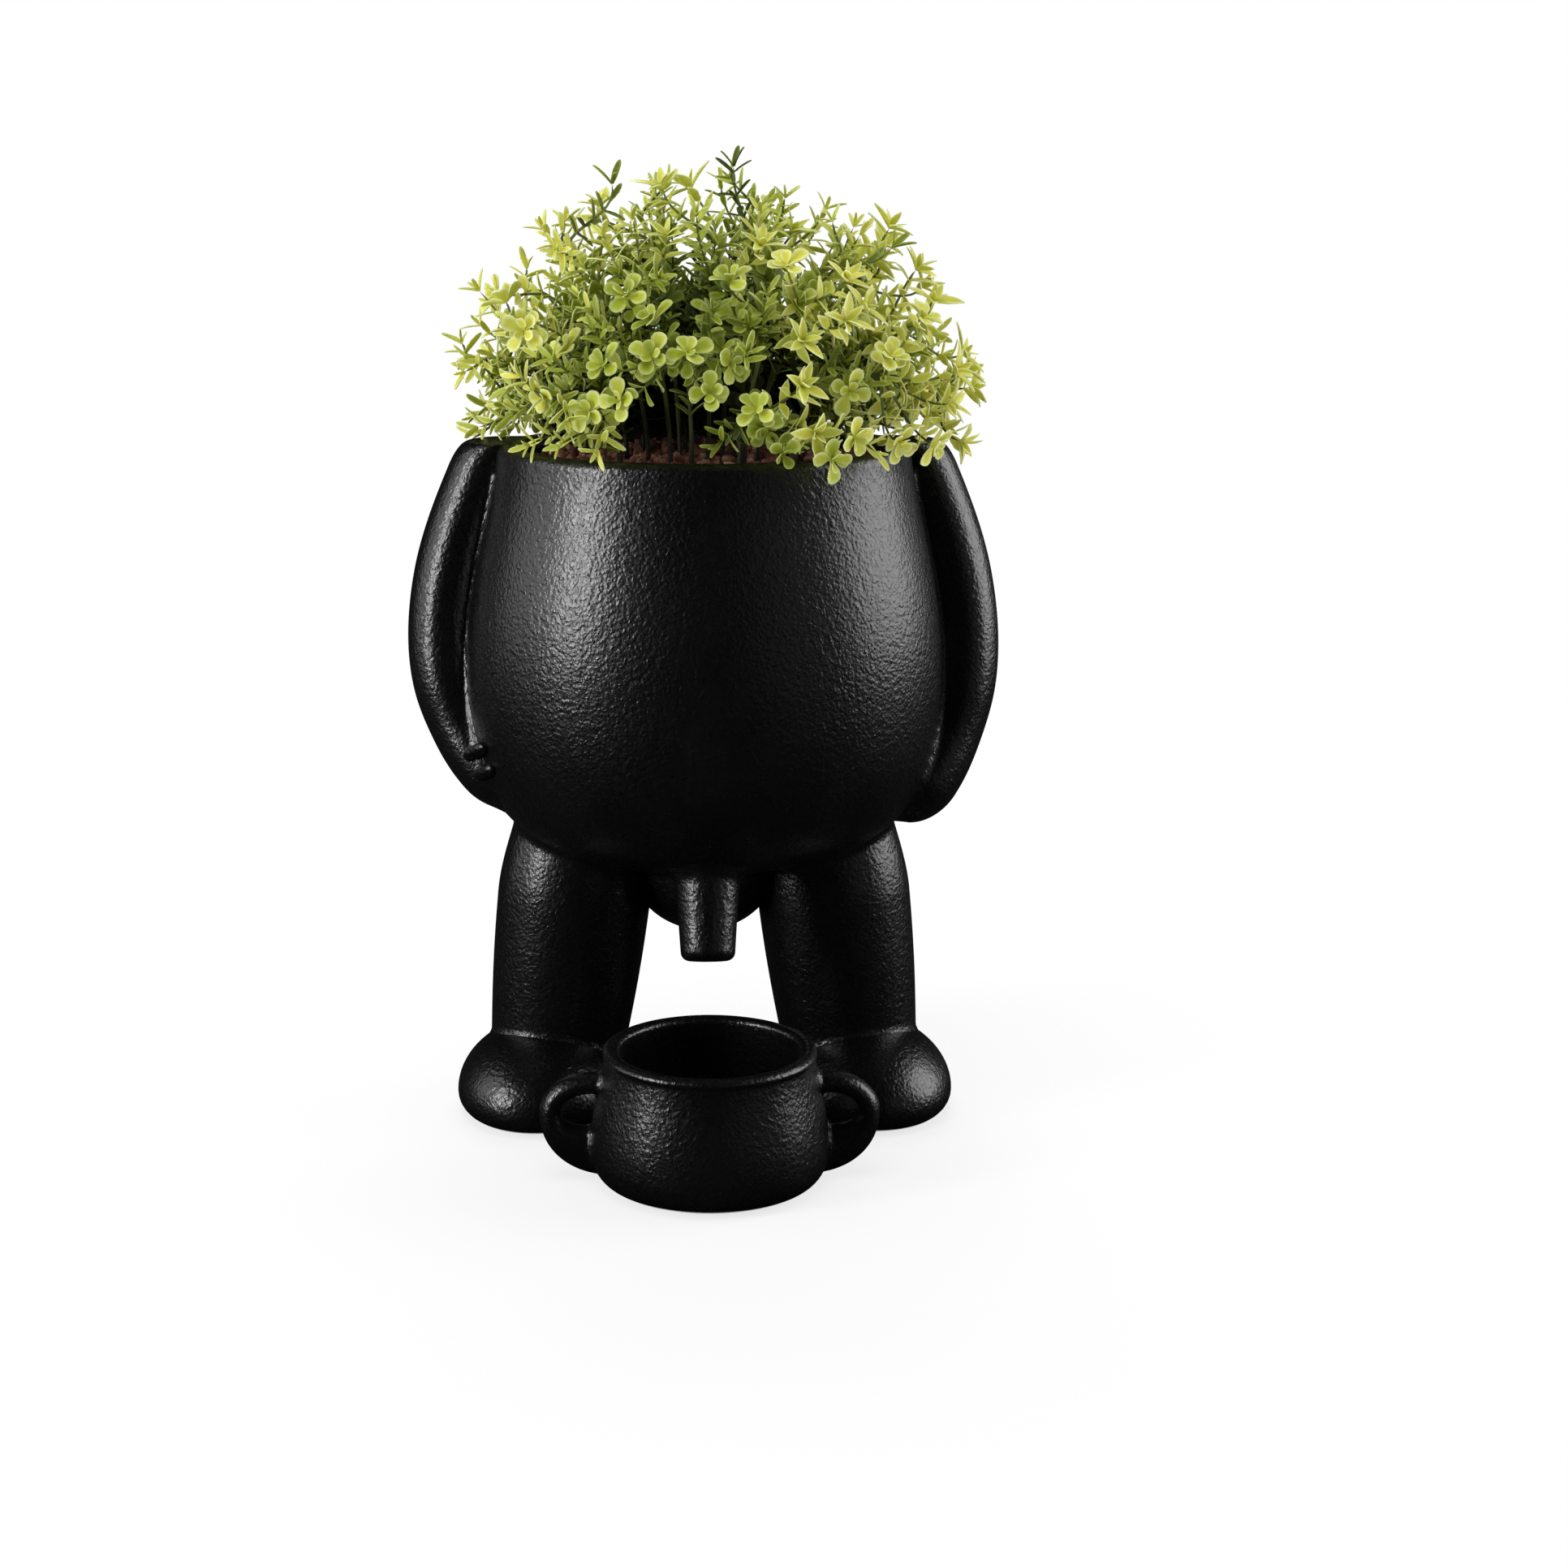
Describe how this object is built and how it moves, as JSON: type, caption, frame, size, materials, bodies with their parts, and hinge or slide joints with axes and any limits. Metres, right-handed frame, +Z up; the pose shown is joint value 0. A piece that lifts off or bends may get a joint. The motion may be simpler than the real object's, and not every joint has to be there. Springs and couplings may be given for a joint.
{
  "type": "figure planter",
  "caption": "Headless round-bellied figure planter with a drain spout, a loose two-handled catch pot and lift-out foliage.",
  "frame": {"origin": "on the floor, at the centre of the footprint from the catch pot's front to the belly's back", "axes": "+Z up, the figure and its catch pot face -Y, +X to the viewer's right"},
  "size_m": [0.1095, 0.108, 0.1766],
  "materials": {
    "black_ceramic": "satin black with a fine sandy grain",
    "screen_plastic": "plain moulded",
    "coir": "pressed coconut fibre",
    "red_pebble": "small matt pebbles",
    "foliage": "soft moulded leaves, yellow-green to dark green"
  },
  "bodies": {
    "figure": {"belly_pot": "black_ceramic", "drain_spout": "black_ceramic", "drain_screen": "screen_plastic", "seat": "black_ceramic", "left_arm": "black_ceramic", "right_arm": "black_ceramic", "left_leg": "black_ceramic", "right_leg": "black_ceramic", "left_foot": "black_ceramic", "right_foot": "black_ceramic"},
    "plant": {"coir_plug": "coir", "pebble_bed": "red_pebble", "sprig_01": "foliage", "sprig_02": "foliage", "sprig_03": "foliage", "sprig_04": "foliage", "sprig_05": "foliage", "sprig_06": "foliage", "sprig_07": "foliage", "sprig_08": "foliage", "sprig_09": "foliage", "sprig_10": "foliage", "sprig_11": "foliage", "sprig_12": "foliage", "sprig_13": "foliage", "sprig_14": "foliage", "sprig_15": "foliage", "sprig_16": "foliage", "sprig_17": "foliage", "sprig_18": "foliage", "sprig_19": "foliage", "sprig_20": "foliage", "sprig_21": "foliage", "sprig_22": "foliage", "sprig_23": "foliage", "sprig_24": "foliage"},
    "catch_pot": {"catch_bowl": "black_ceramic", "left_handle": "black_ceramic", "right_handle": "black_ceramic"}
  },
  "joints": [
    {"name": "plant_lift", "type": "slide", "parent": "figure", "child": "plant", "axis": [0, 0, 1], "range_m": [0, 0.08]},
    {"name": "catch_pot_slide", "type": "slide", "parent": "figure", "child": "catch_pot", "axis": [0, -1, 0], "range_m": [0, 0.09]}
  ]
}
